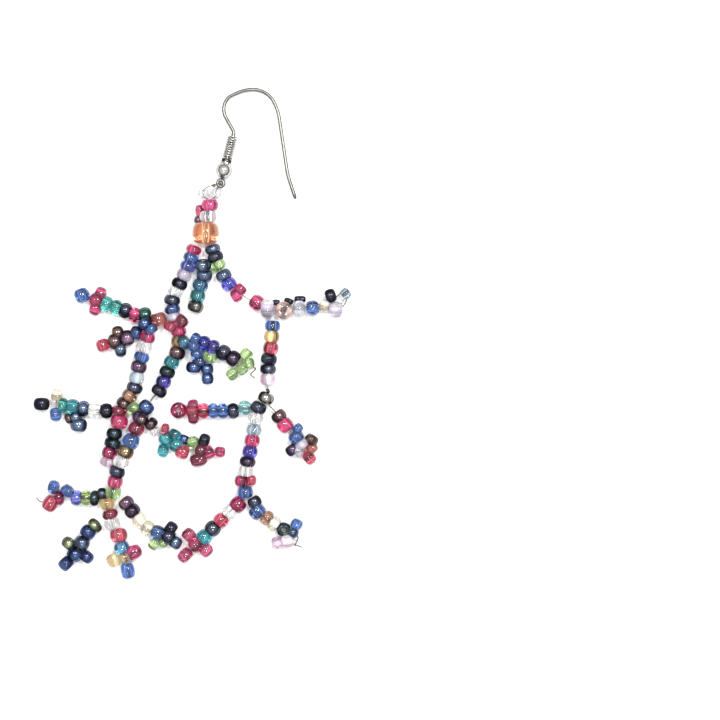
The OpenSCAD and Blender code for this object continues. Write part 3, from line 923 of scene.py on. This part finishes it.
def add_hanging_thread():
    """The thread through the large beads and the eye, with its knot and winding."""
    thread = Batch()
    plies(thread, [Vector(p) for p in THREAD])
    for start, end, count in WINDINGS:
        winding(thread, Vector(start), Vector(end), count)
    thread.piece("hanging_thread_plies", [plain_materials["old_thread"]], "thread", "hanging_thread")


def hook_matrix():
    """Lays what is drawn round the middle of the ball where the hook lies."""
    tilt = Matrix.Rotation(-math.radians(HOOK_TILT), 4, toward(LEG_DIRECTION))
    return Matrix.Translation(BALL_PLACE) @ tilt


def shank_matrix():
    """Lays what is drawn upright round the middle of the ball along the shank."""
    turn = Matrix.Rotation(math.radians(SHANK_DIRECTION - 90), 4, "Z")
    return hook_matrix() @ turn @ Matrix.Rotation(math.radians(-90), 4, "X")


def hook_route():
    """Middle line of the hook's wire in its own plane, from the eye's ring to the tip."""
    place = Vector((0, 0, 0))
    heading = SHANK_DIRECTION
    route = [(EYE_RADIUS - EYE_DROP) * toward(heading), Vector(place)]
    for length, turn in HOOK:
        steps = max(2, math.ceil(abs(turn) / HOOK_STEP_TURN), round(length / HOOK_STEP))
        for _ in range(steps):
            place = place + length / steps * toward(heading + turn / steps / 2)
            heading += turn / steps
            route.append(Vector(place))
    return route


def add_hook():
    """The bent wire and the ring of its eye."""
    lay = hook_matrix()
    middle = -EYE_DROP * toward(SHANK_DIRECTION)
    eye = [lay @ (EYE_RADIUS * toward(k * 360 / EYE_STEPS) + middle) for k in range(EYE_STEPS)]
    wire = Batch()
    wire.tube([lay @ p for p in hook_route()], WIRE_RADIUS, WIRE_SIDES, tip=WIRE_TIP)
    wire.tube(eye, WIRE_RADIUS, WIRE_SIDES, closed=True)
    wire.piece("ear_hook_wire", [plain_materials["wire"]], "wire", "ear_hook")


def add_coil():
    """The coil's wire round the shank."""
    shank = shank_matrix()
    steps = COIL_TURNS * COIL_STEPS
    route = []
    for i in range(steps + 1):
        angle = 2 * math.pi * i / COIL_STEPS
        climb = COIL_START + COIL_WIRE + (COIL_LENGTH - 2 * COIL_WIRE) * i / steps
        route.append(shank @ Vector((COIL_RADIUS * math.cos(angle), COIL_RADIUS * math.sin(angle), climb)))
    coil = Batch()
    coil.tube(route, COIL_WIRE, COIL_SIDES)
    coil.piece("hook_coil_wire", [plain_materials["coil"]], "coil", "hook_coil")


def add_ball():
    """The drilled ball, with its neck in dark metal as painted shade where the coil meets the ball."""
    shank = shank_matrix()
    arc = [math.radians(degrees) for degrees in BALL_ARC]
    round_part = [(BALL_RADIUS * math.cos(a), BALL_RADIUS * math.sin(a)) for a in arc]
    shell = [BALL_RIM] + round_part + [BALL_SHOULDER]
    rings = []
    for radius, height in shell + BALL_NECK:
        corners = [Vector((radius * math.cos(a), radius * math.sin(a), height)) for a in turns(BALL_SIDES)]
        rings.append([(shank @ corner) * MM for corner in corners])
    ball = Batch()
    ball.rings(rings, [0] * len(shell) + [1] * len(BALL_NECK), True)
    ball.piece("hook_ball_shell", [plain_materials["ball"], plain_materials["neck"]], "ball", "hook_ball")


def add_camera():
    """The camera at the photograph's viewing angle."""
    data = bpy.data.cameras.new("photo_camera")
    data.lens = CAMERA_LENS
    data.sensor_width = CAMERA_SENSOR
    data.clip_start = CAMERA_NEAREST * MM
    camera = bpy.data.objects.new("photo_camera", data)
    camera.location = CAMERA_PLACE * MM
    scene.collection.objects.link(camera)
    scene.camera = camera
    scene.view_settings.view_transform = "Standard"


def add_floor():
    """The plain pale floor."""
    mesh = bpy.data.meshes.new("floor")
    reach = FLOOR_REACH * MM
    corners = [(x * reach, y * reach, 0) for x, y in ((-1, -1), (1, -1), (1, 1), (-1, 1))]
    mesh.from_pydata(corners, [], [(0, 1, 2, 3)])
    mesh.materials.append(plain_materials["floor"])
    floor = bpy.data.objects.new("floor", mesh)
    floor.location.z = -FLOOR_DROP * MM
    scene.collection.objects.link(floor)


def add_world():
    """A sky, white above and dark low down, for the edges of the glass, and a plain pale backdrop."""
    world = bpy.data.worlds.new("studio")
    world.use_nodes = True
    scene.world = world
    nodes = world.node_tree.nodes
    links = world.node_tree.links
    place = nodes.new("ShaderNodeTexCoord")
    split = nodes.new("ShaderNodeSeparateXYZ")
    links.new(place.outputs["Generated"], split.inputs["Vector"])
    ramp = nodes.new("ShaderNodeValToRGB")
    for element, (height, colour) in zip(ramp.color_ramp.elements, (SKY_DARK, SKY_WHITE)):
        element.position = height
        element.color = colour
    links.new(split.outputs["Z"], ramp.inputs["Fac"])
    rays = nodes.new("ShaderNodeLightPath")
    backdrop = nodes.new("ShaderNodeMix")
    backdrop.data_type = "RGBA"
    backdrop.inputs["B"].default_value = BACKDROP_COLOUR
    links.new(rays.outputs["Is Camera Ray"], backdrop.inputs["Factor"])
    links.new(ramp.outputs["Color"], backdrop.inputs["A"])
    links.new(backdrop.outputs["Result"], nodes["Background"].inputs["Color"])
    nodes["Background"].inputs["Strength"].default_value = SKY_STRENGTH


def add_lamp(name, place, size, power):
    """A square lamp that faces the earring."""
    data = bpy.data.lights.new(name, "AREA")
    data.size = size
    data.energy = power
    lamp = bpy.data.objects.new(name, data)
    lamp.location = place
    lamp.rotation_euler = (-Vector(place)).to_track_quat("-Z", "Y").to_euler()
    scene.collection.objects.link(lamp)


add_camera()
bead_materials = [bead_material(name, kind) for name, kind in KINDS.items()]
plain_materials = {name: plain_material(name, plain) for name, plain in PLAIN.items()}

for name, row in STRANDS.items():
    add_strand(name, *row)
for name, row in BRANCHES.items():
    add_branch(name, *row)
for row in MAIN_BEADS:
    add_main_bead(*row)
add_side_beads()
add_hanging_thread()
add_hook()
add_coil()
add_ball()

add_floor()
add_world()
for row in LAMPS:
    add_lamp(*row)
